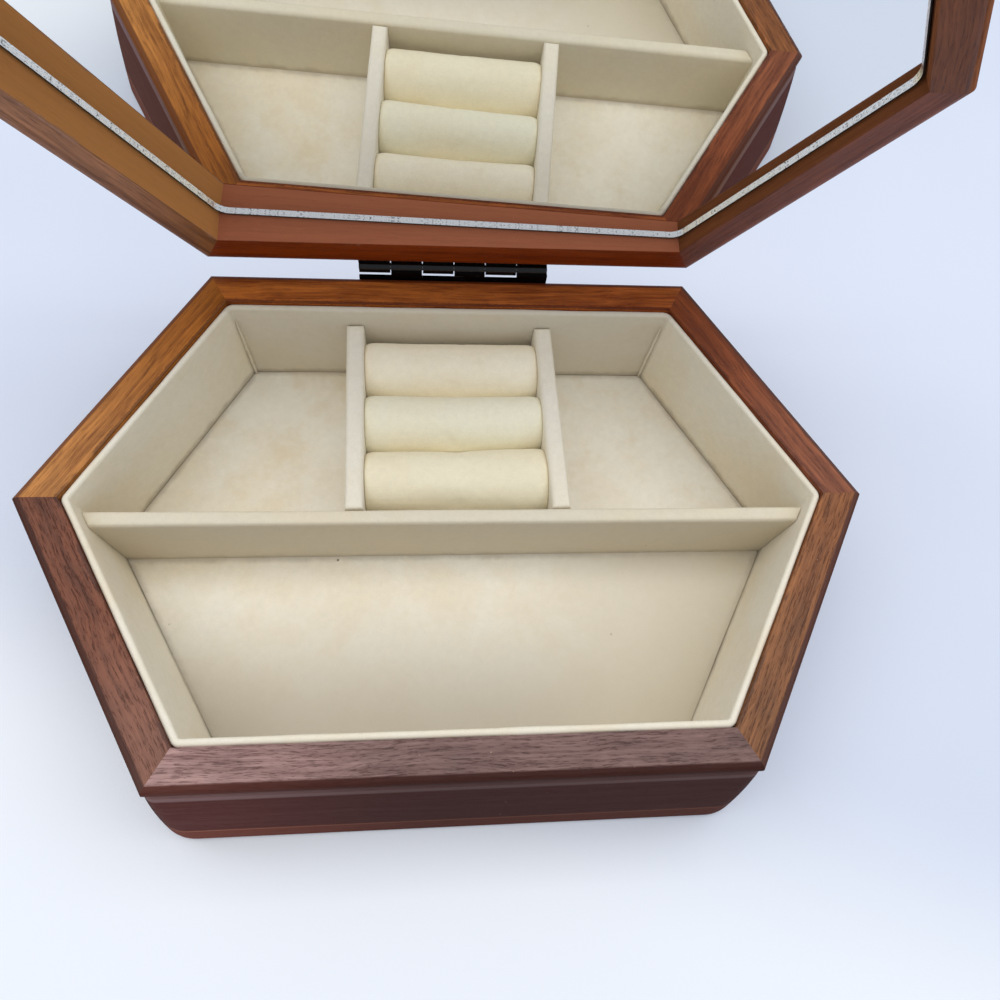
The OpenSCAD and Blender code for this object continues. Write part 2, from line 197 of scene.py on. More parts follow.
def make_stained_wood():
    """Stained hardwood: figure, fibres, pores and mottling that run along x of the board's own place."""
    tree, given, out = effect("stained_wood", [
        ("Place", "Vector", None), ("Light", "Color", (0.3, 0.12, 0.05, 1)), ("Dark", "Color", (0.1, 0.04, 0.02, 1)),
        ("Pore", "Color", (0.03, 0.012, 0.008, 1)), ("Seed", "Float", 0.0), ("Pores", "Float", 0.5),
        ("Mottle", "Float", 0.3),
    ], [("Color", "Color"), ("Height", "Float"), ("Roughness", "Float")])
    place, seed = given["Place"], given["Seed"]
    drift = scaled(tree, noise(tree, place, 18, 2, 0.5, seed), 7 * MM, -3.5 * MM)
    waved = put(tree, "CombineXYZ", {"X": 0.0, "Y": drift, "Z": drift}).outputs[0]
    grain = put(tree, "VectorMath", {0: place, 1: waved}, operation="ADD").outputs[0]
    figure = noise(tree, stretched(tree, grain, 8, 260, 260), 1, 4, 0.65, seed)
    fibre = noise(tree, stretched(tree, grain, 55, 1500, 1500), 1, 4, 0.65, seed)
    dash = noise(tree, stretched(tree, grain, 330, 3300, 3300), 1, 2, 0.5, seed)
    mottle = noise(tree, stretched(tree, place, 95, 190, 190), 1, 4, 0.6, calc(tree, "ADD", seed, 7.3))
    band = scaled(tree, figure, 0.9, calc(tree, "MULTIPLY", fibre, 0.75))
    colour = tint(tree, step(tree, band, 0.55, 1.08), given["Dark"], given["Light"])
    shade = calc(tree, "MULTIPLY", calc(tree, "SUBTRACT", mottle, 0.5), calc(tree, "MULTIPLY", given["Mottle"], 3.2))
    colour = put(tree, "HueSaturation", {"Color": colour, "Value": calc(tree, "ADD", shade, 1.0)}).outputs[0]
    pored = calc(tree, "MULTIPLY", step(tree, dash, 0.52, 0.64), step(tree, fibre, 0.64, 0.42))
    pored = calc(tree, "MULTIPLY", pored, given["Pores"], clamp=True)
    colour = tint(tree, pored, colour, given["Pore"])
    height = calc(tree, "SUBTRACT", calc(tree, "MULTIPLY", fibre, 0.5), calc(tree, "MULTIPLY", pored, 0.8))
    rough = scaled(tree, mottle, 0.22, 0.27)
    wire_out(tree, {"Color": colour, "Height": height, "Roughness": rough}, out)
    return tree


def make_scuffs():
    """Patchy wear along a line: 1 near the line where the finish is gone, ragged away from it."""
    tree, given, out = effect("scuffs", [
        ("Place", "Vector", None), ("Distance", "Float", 0.0), ("Width", "Float", 0.8 * MM), ("Cover", "Float", 0.5),
        ("Seed", "Float", 0.0)], [("Mask", "Float")])
    ragged = noise(tree, given["Place"], 900, 3, 0.6, given["Seed"])
    patch = noise(tree, given["Place"], 70, 3, 0.6, calc(tree, "ADD", given["Seed"], 3.1))
    reach = calc(tree, "MULTIPLY", given["Width"], calc(tree, "MULTIPLY", ragged, 2.0))
    near = step(tree, calc(tree, "DIVIDE", given["Distance"], reach), 1.0, 0.6)
    there = step(tree, calc(tree, "ADD", patch, calc(tree, "SUBTRACT", given["Cover"], 0.5)), 0.46, 0.56)
    wire_out(tree, {"Mask": calc(tree, "MULTIPLY", near, there, clamp=True)}, out)
    return tree


def make_flocked_cloth():
    """Short matt pile glued on card: fine nap, cloudy yellowing and sparse dark specks of dust."""
    tree, given, out = effect("flocked_cloth", [
        ("Place", "Vector", None), ("Cloth", "Color", (0.6, 0.56, 0.45, 1)), ("Aged", "Color", (0.5, 0.42, 0.28, 1)),
        ("Age", "Float", 0.4), ("Specks", "Float", 0.5), ("Seed", "Float", 0.0),
    ], [("Color", "Color"), ("Height", "Float"), ("Roughness", "Float")])
    place, seed = given["Place"], given["Seed"]
    nap = noise(tree, place, 2600, 4, 0.7, seed)
    crumb = noise(tree, place, 420, 4, 0.65, seed)
    cloud = noise(tree, place, 34, 4, 0.6, seed)
    aged = calc(tree, "MULTIPLY", step(tree, cloud, 0.38, 0.72), given["Age"])
    colour = tint(tree, aged, given["Cloth"], given["Aged"])
    lift = scaled(tree, nap, 0.22, scaled(tree, crumb, 0.16, 0.81))
    colour = put(tree, "HueSaturation", {"Color": colour, "Value": lift}).outputs[0]
    dots = put(tree, "TexVoronoi", {"Vector": place, "W": seed, "Scale": 150.0}, voronoi_dimensions="4D")
    chosen = put(tree, "SeparateColor", {"Color": dots.outputs["Color"]}).outputs[0]
    speck = calc(tree, "MULTIPLY", step(tree, dots.outputs["Distance"], 0.10, 0.05), step(tree, chosen, 0.80, 0.82))
    colour = cover(tree, speck, given["Specks"], colour, (92, 74, 52))
    height = calc(tree, "ADD", calc(tree, "MULTIPLY", nap, 0.6), crumb)
    rough = scaled(tree, nap, 0.1, 0.85)
    wire_out(tree, {"Color": colour, "Height": height, "Roughness": rough}, out)
    return tree


STAINED_WOOD = make_stained_wood()
SCUFFS = make_scuffs()
FLOCKED_CLOTH = make_flocked_cloth()


def use(tree, effect_tree, wired):
    """Places a node group with this material's own values."""
    made = tree.nodes.new("ShaderNodeGroup")
    made.node_tree = effect_tree
    wire_in(tree, made, wired)
    return made.outputs


def new_finish(name):
    """A material with only its Principled shader, and the place it reads its pattern from."""
    finish = bpy.data.materials.new(name)
    finish.use_nodes = True
    tree = finish.node_tree
    return finish, tree, tree.nodes["Principled BSDF"], put(tree, "TexCoord").outputs["Object"]


def wire_surface(tree, shader, colour, height, rough, depth):
    tree.links.new(colour, shader.inputs["Base Color"])
    tree.links.new(rough, shader.inputs["Roughness"])
    bump = put(tree, "Bump", {"Height": height, "Distance": depth, "Strength": 1.0})
    tree.links.new(bump.outputs[0], shader.inputs["Normal"])


def along_side(tree, place, side, lid):
    """The board's own place: x along it, y inwards from the rim's outer edge, z up from the table or the lid's face."""
    if lid:
        place = put(tree, "Mapping", {"Vector": place, "Location": PIN, "Rotation": (radians(-OPEN_ANGLE), 0, 0)},
                    vector_type="TEXTURE").outputs[0]
        place = put(tree, "VectorMath", {0: place, 1: PIN - Vector((0, 0, LID_FACE))}, operation="ADD").outputs[0]
    turn = (0, 0, radians(SIDE_TURN[side]))
    return put(tree, "Mapping", {"Vector": place, "Location": SIDE_MID[side], "Rotation": turn},
               vector_type="TEXTURE").outputs[0]


def between(tree, value, low, high, soft):
    """1 between low and high, with soft ends."""
    return calc(tree, "MULTIPLY", step(tree, value, low - soft, low), step(tree, value, high + soft, high))


def case_bands(tree, split, colour, lip, body):
    """The lip's rounded edge darkened as painted shade, the painted highlight strip under it, the dark flared side and
    the painted highlight line at the ridge above its foot.
    """
    up = split["Z"]
    # Painted shade: the lip's rounded edge is darkened as a dark reflection
    edge = calc(tree, "MULTIPLY", step(tree, split["Y"], 0.1 * MM, -0.5 * MM), step(tree, up, *LIP_LOW))
    colour = cover(tree, edge, 0.92, colour, lip)
    below = step(tree, up, *reversed(LIP_LOW))
    value = calc(tree, "SUBTRACT", 1.0, calc(tree, "MULTIPLY", below, 0.6))
    colour = put(tree, "HueSaturation", {"Color": colour, "Value": value}).outputs[0]
    colour = cover(tree, below, 0.8, colour, body)
    # Painted highlight: a pale strip under the lip
    colour = cover(tree, between(tree, up, *HIGHLIGHT_STRIP, 1.4 * MM), 0.5, colour, (140, 114, 112))
    colour = cover(tree, step(tree, up, *FOOT_TOP), 0.45, colour, (124, 66, 48))
    # Painted highlight: a thin pale line at the ridge above the foot
    return cover(tree, between(tree, up, *RIDGE_HIGHLIGHT, 0.6 * MM), 0.4, colour, (158, 106, 80))


def board_finish(side, lid, light, dark, pore, pores=0.6, mottle=0.3, wear=(172, 126, 100), scuffed=0.5,
                 lit_inner_wall_tone=None, lip=(78, 46, 38), body=(76, 34, 30), ends=None, over=None):
    """Stain and satin lacquer of one board: worn along its inner edge, and changing in tone between its ends, with
    painted sheen on the front and painted light on the lid's inner walls.
    """
    finish, tree, shader, place = new_finish(("lid_" if lid else "case_") + side + "_finish")
    seed = 1.7 * list(SIDE_TURN).index(side) + (11 if lid else 0)
    own = along_side(tree, place, side, lid)
    split = put(tree, "SeparateXYZ", {"Vector": own}).outputs
    light, dark = paint(*light), paint(*dark)
    if lid:
        top = step(tree, split["Z"], 0.6 * MM, 0.2 * MM)
        light = tint(tree, top, paint(156, 94, 56), light)
        dark = tint(tree, top, paint(108, 58, 32), dark)
    wood = use(tree, STAINED_WOOD, {"Place": own, "Light": light, "Dark": dark, "Pore": paint(*pore),
                                    "Seed": seed, "Pores": pores, "Mottle": mottle})
    colour = wood["Color"]
    if lid:
        inner_edge = calc(tree, "ABSOLUTE", calc(tree, "SUBTRACT", split["Y"], LID_RAIL_W))
        reach = calc(tree, "ADD", inner_edge, calc(tree, "ABSOLUTE", split["Z"]))
    else:
        top = step(tree, split["Z"], RIM_Z - 0.6 * MM, RIM_Z - 0.2 * MM)
        reach = calc(tree, "ADD", calc(tree, "SUBTRACT", RIM_W, split["Y"]), calc(tree, "SUBTRACT", RIM_Z, split["Z"]))
        colour = case_bands(tree, split, colour, lip, body)
    # Tone between the ends; on the front board this is painted sheen
    if ends:
        half = HALF_LONG if side in ("front", "back") else HALF_SLANT
        start, end = over or (-half, half)
        tone = tint(tree, step(tree, split["X"], start, end), (*ends[0], 1), (*ends[1], 1))
        colour = tint(tree, top if lid else 1.0, colour, tone, "MULTIPLY")
    # Painted light: the lid rail's inner wall, which faces up, gets its own lit tone
    if lit_inner_wall_tone:
        inside = step(tree, split["Y"], LID_RAIL_W - 0.2 * MM, LID_RAIL_W - 0.05 * MM)
        inside = calc(tree, "MULTIPLY", inside, step(tree, split["Z"], 0.1 * MM, 0.4 * MM))
        colour = cover(tree, inside, 0.7, colour, lit_inner_wall_tone)
    worn = use(tree, SCUFFS, {"Place": own, "Distance": reach, "Width": 0.9 * MM, "Cover": scuffed, "Seed": seed})
    colour = cover(tree, worn["Mask"], 0.7, colour, wear)
    nicks = step(tree, noise(tree, own, 900, 2, 0.6, seed + 5), 0.73, 0.78)
    colour = cover(tree, nicks, 0.5, colour, (205, 165, 135))
    rough = calc(tree, "ADD", wood["Roughness"], calc(tree, "MULTIPLY", calc(tree, "SUBTRACT", 1.0, top), 0.6))
    wire_surface(tree, shader, colour, wood["Height"], rough, 0.16 * MM)
    shader.inputs["Specular IOR Level"].default_value = 0.2
    return finish


def stained_floor(tree, place, split, colour, seed):
    """Painted shade along the walls and the long divider, painted shadow over the front and the right, and yellow
    blotches at the back.
    """
    edge = None
    for turn in (90, 30, -30):
        reach = calc(tree, "ABSOLUTE", dot(tree, place, (cos(radians(turn)), sin(radians(turn)), 0)))
        limit = HALF_DEPTH if turn == 90 else HALF_WIDTH * cos(MITRE)
        gap = calc(tree, "SUBTRACT", limit - LINER_IN, reach)
        edge = gap if edge is None else calc(tree, "MINIMUM", edge, gap)
    divider = calc(tree, "ABSOLUTE", calc(tree, "ADD", split["Y"], -DIVIDER_BACK + DIVIDER_T / 2))
    edge = calc(tree, "MINIMUM", edge, calc(tree, "SUBTRACT", divider, DIVIDER_T / 2))
    # Painted shade where the floor meets the walls and the long divider
    ragged = calc(tree, "MULTIPLY", noise(tree, place, 160, 4, 0.7, seed), 3.4 * MM)
    crease_shade = step(tree, calc(tree, "SUBTRACT", edge, ragged), 0.9 * MM, -1.6 * MM)
    colour = cover(tree, crease_shade, 0.3, colour, (112, 88, 56))
    # Painted shadow over the front of the floor, near the front wall
    front = step(tree, split["Y"], -12 * MM, -66 * MM)
    colour = cover(tree, front, 0.85, colour, (174, 165, 148))
    # Painted shade over the right front of the floor
    right = calc(tree, "MULTIPLY", step(tree, split["X"], 5 * MM, 80 * MM), step(tree, split["Y"], 0, -8 * MM))
    colour = cover(tree, right, 0.7, colour, (208, 198, 176))
    back = step(tree, split["Y"], -10 * MM, 30 * MM)
    blotch = step(tree, noise(tree, place, 48, 4, 0.62, seed + 2), 0.50, 0.66)
    return cover(tree, calc(tree, "MULTIPLY", blotch, back), 0.26, colour, (222, 198, 148))


def cloth_finish(name, cloth, aged, age, specks, seed, foot_shade=0.0, floor=False, front_facing_shade=None):
    """Cream pile, darkened by painted shade where it meets the floor and, between two given places along y, on faces
    that look to the front.
    """
    finish, tree, shader, place = new_finish(name)
    pile = use(tree, FLOCKED_CLOTH, {"Place": place, "Cloth": paint(*cloth), "Aged": paint(*aged), "Age": age,
                                     "Specks": specks, "Seed": seed})
    colour = pile["Color"]
    split = put(tree, "SeparateXYZ", {"Vector": place}).outputs
    if foot_shade:
        # Painted shade in the crease where the cloth meets the floor
        ragged = scaled(tree, noise(tree, place, 120, 3, 0.6, seed), 6 * MM, FLOOR_Z - 2.5 * MM)
        low = step(tree, calc(tree, "SUBTRACT", split["Z"], ragged), 3 * MM, -0.5 * MM)
        colour = cover(tree, low, foot_shade, colour, (120, 98, 66))
    if front_facing_shade:
        # Painted shade on faces that look to the front: the back wall and the long divider's front face
        colour = cover(tree, step(tree, split["Y"], *front_facing_shade), 0.38, colour, (188, 174, 152))
    if floor:
        colour = stained_floor(tree, place, split, colour, seed)
    wire_surface(tree, shader, colour, pile["Height"], pile["Roughness"], 0.12 * MM)
    shader.inputs["Sheen Weight"].default_value = 0.12
    shader.inputs["Specular IOR Level"].default_value = 0.2
    return finish


def plain_wood_finish(name, light, dark, seed):
    """Bare or unseen wood, with its grain along the box."""
    finish, tree, shader, place = new_finish(name)
    wood = use(tree, STAINED_WOOD, {"Place": place, "Light": paint(*light), "Dark": paint(*dark), "Pore": paint(*dark),
                                    "Seed": seed, "Pores": 0.5, "Mottle": 0.2})
    wire_surface(tree, shader, wood["Color"], wood["Height"], wood["Roughness"], 0.12 * MM)
    return finish


def metal_finish(name, colour, worn, roughness, metallic, seed):
    """Lacquered or drawn metal, rubbed bright in fine scratches."""
    finish, tree, shader, place = new_finish(name)
    scratch = noise(tree, stretched(tree, place, 160, 2400, 2400), 1, 3, 0.6, seed)
    wipe = noise(tree, place, 240, 3, 0.6, seed)
    rubbed = calc(tree, "MULTIPLY", step(tree, scratch, 0.60, 0.72), step(tree, wipe, 0.48, 0.62))
    tone = cover(tree, rubbed, 0.5, paint(*colour), worn)
    rough = scaled(tree, wipe, 0.22, roughness)
    wire_surface(tree, shader, tone, scratch, rough, 0.03 * MM)
    shader.inputs["Metallic"].default_value = metallic
    shader.inputs["Specular IOR Level"].default_value = 0.42
    return finish


def mirror_finishes():
    """Silvered glass, a little dusty, and its coarsely ground bevel."""
    glass, tree, shader, place = new_finish("silvered_glass")
    dust = noise(tree, place, 900, 4, 0.7, 2.0)
    haze = noise(tree, place, 45, 4, 0.6, 4.0)
    colour = tint(tree, step(tree, dust, 0.70, 0.80), paint(246, 247, 245), paint(216, 216, 210))
    rough = calc(tree, "MULTIPLY", step(tree, haze, 0.4, 0.8), 0.03)
    tree.links.new(colour, shader.inputs["Base Color"])
    tree.links.new(rough, shader.inputs["Roughness"])
    shader.inputs["Metallic"].default_value = 1.0
    ground, tree, shader, place = new_finish("ground_bevel")
    chips = noise(tree, place, 1500, 3, 0.7, 6.0)
    flats = noise(tree, place, 260, 2, 0.5, 8.0)
    colour = tint(tree, step(tree, chips, 0.52, 0.70), paint(252, 253, 254), paint(62, 62, 66))
    rough = scaled(tree, chips, 0.25, 0.06)
    wire_surface(tree, shader, colour, calc(tree, "ADD", chips, flats), rough, 0.18 * MM)
    shader.inputs["Metallic"].default_value = 1.0
    return glass, ground


def pressed_finish(name, dark, light, seed, depth=0.2 * MM):
    """Felt or packing card: matted fibres in two tones."""
    finish, tree, shader, place = new_finish(name)
    fibres = noise(tree, stretched(tree, place, 1400, 600, 900), 1, 5, 0.7, seed)
    clumps = noise(tree, place, 300, 3, 0.6, seed)
    both = calc(tree, "MULTIPLY", calc(tree, "ADD", fibres, clumps), 0.5)
    rough = scaled(tree, clumps, 0.1, 0.88)
    colour = tint(tree, step(tree, both, 0.35, 0.65), paint(*dark), paint(*light))
    wire_surface(tree, shader, colour, fibres, rough, depth)
    return finish


# Modelling by hand

def only(piece):
    if bpy.context.object and bpy.context.object.mode != "OBJECT":
        bpy.ops.object.mode_set(mode="OBJECT")
    bpy.ops.object.select_all(action="DESELECT")
    piece.select_set(True)
    bpy.context.view_layer.objects.active = piece


def pick(piece, kind, test):
    """In edit mode, selects only the faces, edges or corners that pass the test."""
    bpy.ops.mesh.select_all(action="DESELECT")
    bpy.ops.mesh.select_mode(type=kind)
    shape = bmesh.from_edit_mesh(piece.data)
    items = {"VERT": shape.verts, "EDGE": shape.edges, "FACE": shape.faces}[kind]
    for item in items:
        item.select_set(bool(test(item)))
    shape.select_flush_mode()
    bmesh.update_edit_mesh(piece.data)


def open_mesh(piece):
    only(piece)
    bpy.ops.object.mode_set(mode="EDIT")
    bpy.ops.mesh.select_all(action="SELECT")


def close_mesh():
    bpy.ops.object.mode_set(mode="OBJECT")


def cut(point, normal, keep_inside=False):
    """Cuts the whole open mesh by a plane, and drops what lies beyond it where asked."""
    bpy.ops.mesh.select_all(action="SELECT")
    bpy.ops.mesh.bisect(plane_co=point, plane_no=normal, use_fill=keep_inside, clear_outer=keep_inside)


def slice_up(axis, places):
    """Cuts the open mesh at each place along an axis, so that it can waver."""
    normal = [0, 0, 0]
    normal[axis] = 1
    for place in places:
        cut([place * n for n in normal], normal)


def soften(offset, segments):
    """Rounds the picked edges."""
    bpy.ops.mesh.bevel(offset=offset, segments=segments, affect="EDGES", profile=0.5)


def block(name, low, high):
    low, high = Vector(low), Vector(high)
    bpy.ops.object.select_all(action="DESELECT")
    bpy.ops.mesh.primitive_cube_add(size=1, location=(low + high) / 2)
    piece = bpy.context.object
    piece.name = piece.data.name = name
    piece.scale = high - low
    bpy.ops.object.transform_apply(location=True, rotation=True, scale=True)
    return piece


def hexagon_block(name, inset, low, high):
    """A slab in the box's outline moved inwards by inset, left open for more work in edit mode."""
    _, depth, tip = outline_reach(inset)
    piece = block(name, (-tip, -depth, low), (tip, depth, high))
    open_mesh(piece)
    for right in (-1, 1):
        for back in (-1, 1):
            cut((right * tip, 0, 0), (right * cos(MITRE), back * sin(MITRE), 0), True)
    return piece


def outline_reach(inset):
    """Where the right back corner of the outline lies once it is moved inwards, and how far its side tips reach."""
    return HALF_LONG - inset * tan(MITRE), HALF_DEPTH - inset, HALF_WIDTH - inset / cos(MITRE)


def round_outline(piece, inset, radii):
    """Rounds the upright corners: right back, left back, right front, left front, right tip and left tip."""
    x, y, tip = outline_reach(inset)
    for spot, radius in zip(((x, y), (-x, y), (x, -y), (-x, -y), (tip, 0), (-tip, 0)), radii):
        round_corner(piece, spot, radius * MM)


def upright(edge):
    a, b = edge.verts
    return (a.co - b.co).to_2d().length < 1e-6


def at_top(edge, top):
    return all(v.co.z > top - 1e-6 for v in edge.verts)


def round_corner(piece, spot, radius):
    """Rounds the upright edge of a 120 degree corner nearest to the spot."""
    spot = Vector(spot)
    edges = [e for e in bmesh.from_edit_mesh(piece.data).edges if upright(e)]
    where = min((e.verts[0].co.to_2d() for e in edges), key=lambda corner: (corner - spot).length)
    pick(piece, "EDGE", lambda e: upright(e) and (e.verts[0].co.to_2d() - where).length < 1e-6)
    soften(radius * tan(MITRE), 7)


def apply_modifier(piece, kind, **settings):
    only(piece)
    modifier = piece.modifiers.new(kind.lower(), kind)
    for name, value in settings.items():
        setattr(modifier, name, value)
    bpy.ops.object.modifier_apply(modifier=modifier.name)


def waver(piece, amount, size):
    """Makes covered card a little uneven."""
    cloud = bpy.data.textures.new(piece.name + "_unevenness", "CLOUDS")
    cloud.noise_scale = size
    apply_modifier(piece, "DISPLACE", texture=cloud, strength=amount, mid_level=0.5, texture_coords="LOCAL")


def smooth(piece, angle):
    only(piece)
    bpy.ops.object.shade_smooth_by_angle(angle=radians(angle))


def dress(piece, finish, body, slot, *nodes):
    piece.data.materials.clear()
    piece.data.materials.append(finish)
    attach(piece, body)
    if nodes:
        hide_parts(*nodes)


def place_piece(piece, location, rotation):
    only(piece)
    piece.location = location
    piece.rotation_euler = rotation
    bpy.ops.object.transform_apply(location=True, rotation=True, scale=True)


def open_with_lid(piece):
    """Turns what is modelled for the closed lid about the hinge pin to where it rests."""
    turned = Vector((0, PIN.y * cos(radians(OPEN_ANGLE)) + PIN.z * sin(radians(OPEN_ANGLE)),
                     -PIN.y * sin(radians(OPEN_ANGLE)) + PIN.z * cos(radians(OPEN_ANGLE))))
    place_piece(piece, PIN - turned, (radians(-OPEN_ANGLE), 0, 0))


# Tray lining

def model_lining_band():
    """One strip of covered card all round the tray, with rounded corners and a soft top edge."""
    band = hexagon_block("lining_band", LINER_OUT, FLOOR_LOW, LINER_TOP)
    pick(band, "FACE", lambda f: abs(f.normal.z) > 0.9)
    bpy.ops.mesh.delete(type="ONLY_FACE")
    round_outline(band, LINER_OUT, (4.0, 3.6, 3.0, 2.6, 3.0, 2.6))
    close_mesh()
    apply_modifier(band, "SOLIDIFY", thickness=LINER_IN - LINER_OUT, offset=-1, use_even_offset=True)
    open_mesh(band)
    pick(band, "EDGE", lambda e: at_top(e, LINER_TOP) and sum(abs(f.normal.z) > 0.9 for f in e.link_faces) == 1)
    soften(1.02 * MM, 5)
    slice_up(0, [i * CARD_SLICE for i in range(-28, 29)])
    slice_up(1, [i * CARD_SLICE for i in range(-16, 17)])
    slice_up(2, [FLOOR_LOW + i * 4.2 * MM for i in range(1, 9)])
    close_mesh()
    waver(band, 0.42 * MM, 0.022)
    smooth(band, 50)
    return band


def model_lining_floor():
    """The covered card on the tray's floor, its edge turned down all round."""
    sheet = hexagon_block("lining_floor", LINER_IN + 0.03 * MM, FLOOR_LOW, FLOOR_Z)
    pick(sheet, "EDGE", lambda e: at_top(e, FLOOR_Z))
    soften(0.4 * MM, 3)
    slice_up(0, [i * 5 * MM for i in range(-22, 23)])
    slice_up(1, [i * 5 * MM for i in range(-13, 14)])
    close_mesh()
    waver(sheet, 0.5 * MM, 0.03)
    smooth(sheet, 50)
    return sheet


def covered_board(name, low, high, axis):
    """A divider along the axis: card wrapped in cloth, soft along its top, left open for more work in edit mode."""
    board = block(name, low, high)
    open_mesh(board)
    pick(board, "EDGE", lambda e: at_top(e, high[2]))
    soften(1.55 * MM, 5)
    start, end = low[axis], high[axis]
    count = int((end - start) / CARD_SLICE)
    slice_up(axis, [start + (end - start) * i / count for i in range(1, count)])
    slice_up(2, [low[2] + i * 4.4 * MM for i in range(1, 7)])
    return board


def model_long_divider():
    """From tip to tip of the tray, mitred at both ends to lie flat against the front walls."""
    tip = outline_reach(LINER_IN + 0.1 * MM)[2]
    board = covered_board("lining_long_divider", (-tip, DIVIDER_BACK - DIVIDER_T, FLOOR_Z - 0.2 * MM),
                          (tip, DIVIDER_BACK, DIVIDER_TOP), 0)
    for right in (-1, 1):
        cut((right * tip, 0, 0), (right * cos(MITRE), -sin(MITRE), 0), True)

    def on_top_of_an_end(edge):
        near = all(abs(v.co.x) > tip - 5 * MM and v.co.z > DIVIDER_TOP - 0.6 * MM for v in edge.verts)
        return near and any(abs(f.normal.x) > 0.8 for f in edge.link_faces)

    pick(board, "EDGE", on_top_of_an_end)
    soften(0.7 * MM, 3)
    close_mesh()
    waver(board, CARD_WAVER, 0.03)
    smooth(board, 50)
    return board


def model_ring_divider(side):
    """Modelled with its front end at the origin, then turned and set down."""
    length = HALF_DEPTH - LINER_IN - DIVIDER_BACK - 0.8 * MM
    height = DIVIDER_TOP - FLOOR_Z
    half = RING_DIVIDER_T / 2
    name = ("lining_left" if side < 0 else "lining_right") + "_ring_divider"
    board = covered_board(name, (-half, 0, -0.2 * MM), (half, length, height), 1)
    pick(board, "EDGE", lambda e: all(v.co.y > length - 1e-6 and v.co.z > height - 1.7 * MM for v in e.verts))
    soften(1.2 * MM, 4)
    close_mesh()
    x = side * (RING_BAY_HALF + half) + BAY_SHIFT
    place_piece(board, (x, DIVIDER_BACK + 0.4 * MM, FLOOR_Z), (0, 0, radians(BAY_TURN)))
    waver(board, CARD_WAVER, 0.03)
    smooth(board, 50)
    return board


def model_corner_fold(right):
    """The cloth's lapped edge, a thin wandering ridge down a back corner of the tray."""
    corner_x, corner_y, _ = outline_reach(LINER_IN)
    x, y = right * (corner_x - 0.45 * MM), corner_y - 0.75 * MM
    bpy.ops.curve.primitive_nurbs_path_add(location=(0, 0, 0))
    ridge = bpy.context.object
    ridge.name = ridge.data.name = ("right" if right > 0 else "left") + "_corner_fold"
    spline = ridge.data.splines[0]
    spline.points.add(4)
    heights_mm = (47.5, 43, 38.5, 34, 30, 26, 22, 18, 14.6)
    wander_mm = (0.0, 0.25, -0.15, 0.3, 0.1, -0.25, 0.2, -0.05, 0.15)
    for point, z, off in zip(spline.points, heights_mm, wander_mm):
        point.co = (x + off * right * MM, y + off * 0.6 * MM, z * MM, 1)
        point.radius = 0.35 if z > 46 else 1
    ridge.data.bevel_depth = 0.5 * MM
    ridge.data.bevel_resolution = 3
    ridge.data.use_fill_caps = True
    only(ridge)
    bpy.ops.object.convert(target="MESH")
    smooth(ridge, 60)
    return ridge


# Ring rolls

def foam_roll(node, seed):
    """Foam in a cloth sleeve: the CAD form, remeshed fine and blown up a little by cloth pressure."""
    only(part[node])
    bpy.ops.object.duplicate()
    roll = bpy.context.object
    for key in list(roll.keys()):
        if key.startswith("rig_"):
            del roll[key]
    roll.parent = None
    roll.name = roll.data.name = node + "_pad"
    roll.hide_render = False
    open_mesh(roll)
    bpy.ops.mesh.remove_doubles(threshold=1e-6)
    close_mesh()
    low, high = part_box(node)
    apply_modifier(roll, "REMESH", mode="VOXEL", voxel_size=1.1 * MM, use_smooth_shade=True)
    apply_modifier(roll, "SMOOTH", factor=0.5, iterations=2)
    blow_up(roll)
    waver(roll, 0.5 * MM, 0.012 + 0.003 * seed)
    apply_modifier(roll, "SUBSURF", levels=1, render_levels=1)
    for vertex in roll.data.vertices:
        vertex.co = pressed_into_bay(vertex.co, low.y, high.y)
    only(roll)
    bpy.ops.object.shade_smooth()
    return roll


def pressed_into_bay(spot, low_y, high_y):
    """Spreads a roll's foam until it fills the bay, flat against the dividers, the middle joint a little crooked."""
    y = min(max(spot.y, low_y - 0.1 * MM), high_y + 0.1 * MM)
    middle = (DIVIDER_BACK - y) * tan(radians(BAY_TURN))
    half = RING_BAY_HALF - 0.05 * MM
    x = min(max((spot.x - middle) * ROLL_SWELL[0], -half), half)
    near_joint = max(0, 1 - abs(y - ROLL_FRONT - ROLL_PITCH) / ROLL_PITCH)
    crooked = ROLL_CROOKED * near_joint * (x + half) / (2 * half)
    y = ROLL_FRONT + (y - ROLL_FRONT) * ROLL_SWELL[1] + crooked
    return Vector((x + middle + BAY_SHIFT, y, FLOOR_Z + max(0, spot.z - FLOOR_Z) * ROLL_SWELL[2]))


def blow_up(roll):
    """Cloth pressure on a light skin, with no point moved further than the roll's puff."""
    scene = bpy.context.scene
    last_frame = 20
    before = [v.co.copy() for v in roll.data.vertices]
    only(roll)
    cloth = roll.modifiers.new("sleeve", "CLOTH")
    cloth.settings.mass = 0.001
    cloth.settings.use_pressure = True
    cloth.settings.uniform_pressure_force = 4
    cloth.settings.effector_weights.gravity = 0
    cloth.settings.tension_stiffness = 5
    cloth.settings.compression_stiffness = 5
    cloth.settings.bending_stiffness = 0.5
    cloth.point_cache.frame_start, cloth.point_cache.frame_end = 1, last_frame
    for now in range(1, last_frame + 1):
        scene.frame_set(now)
    only(roll)
    bpy.ops.object.modifier_apply(modifier="sleeve")
    scene.frame_set(1)
    for vertex, start in zip(roll.data.vertices, before):
        shift = vertex.co - start
        if shift.length > ROLL_PUFF:
            vertex.co = start + shift.normalized() * ROLL_PUFF


# Mirror

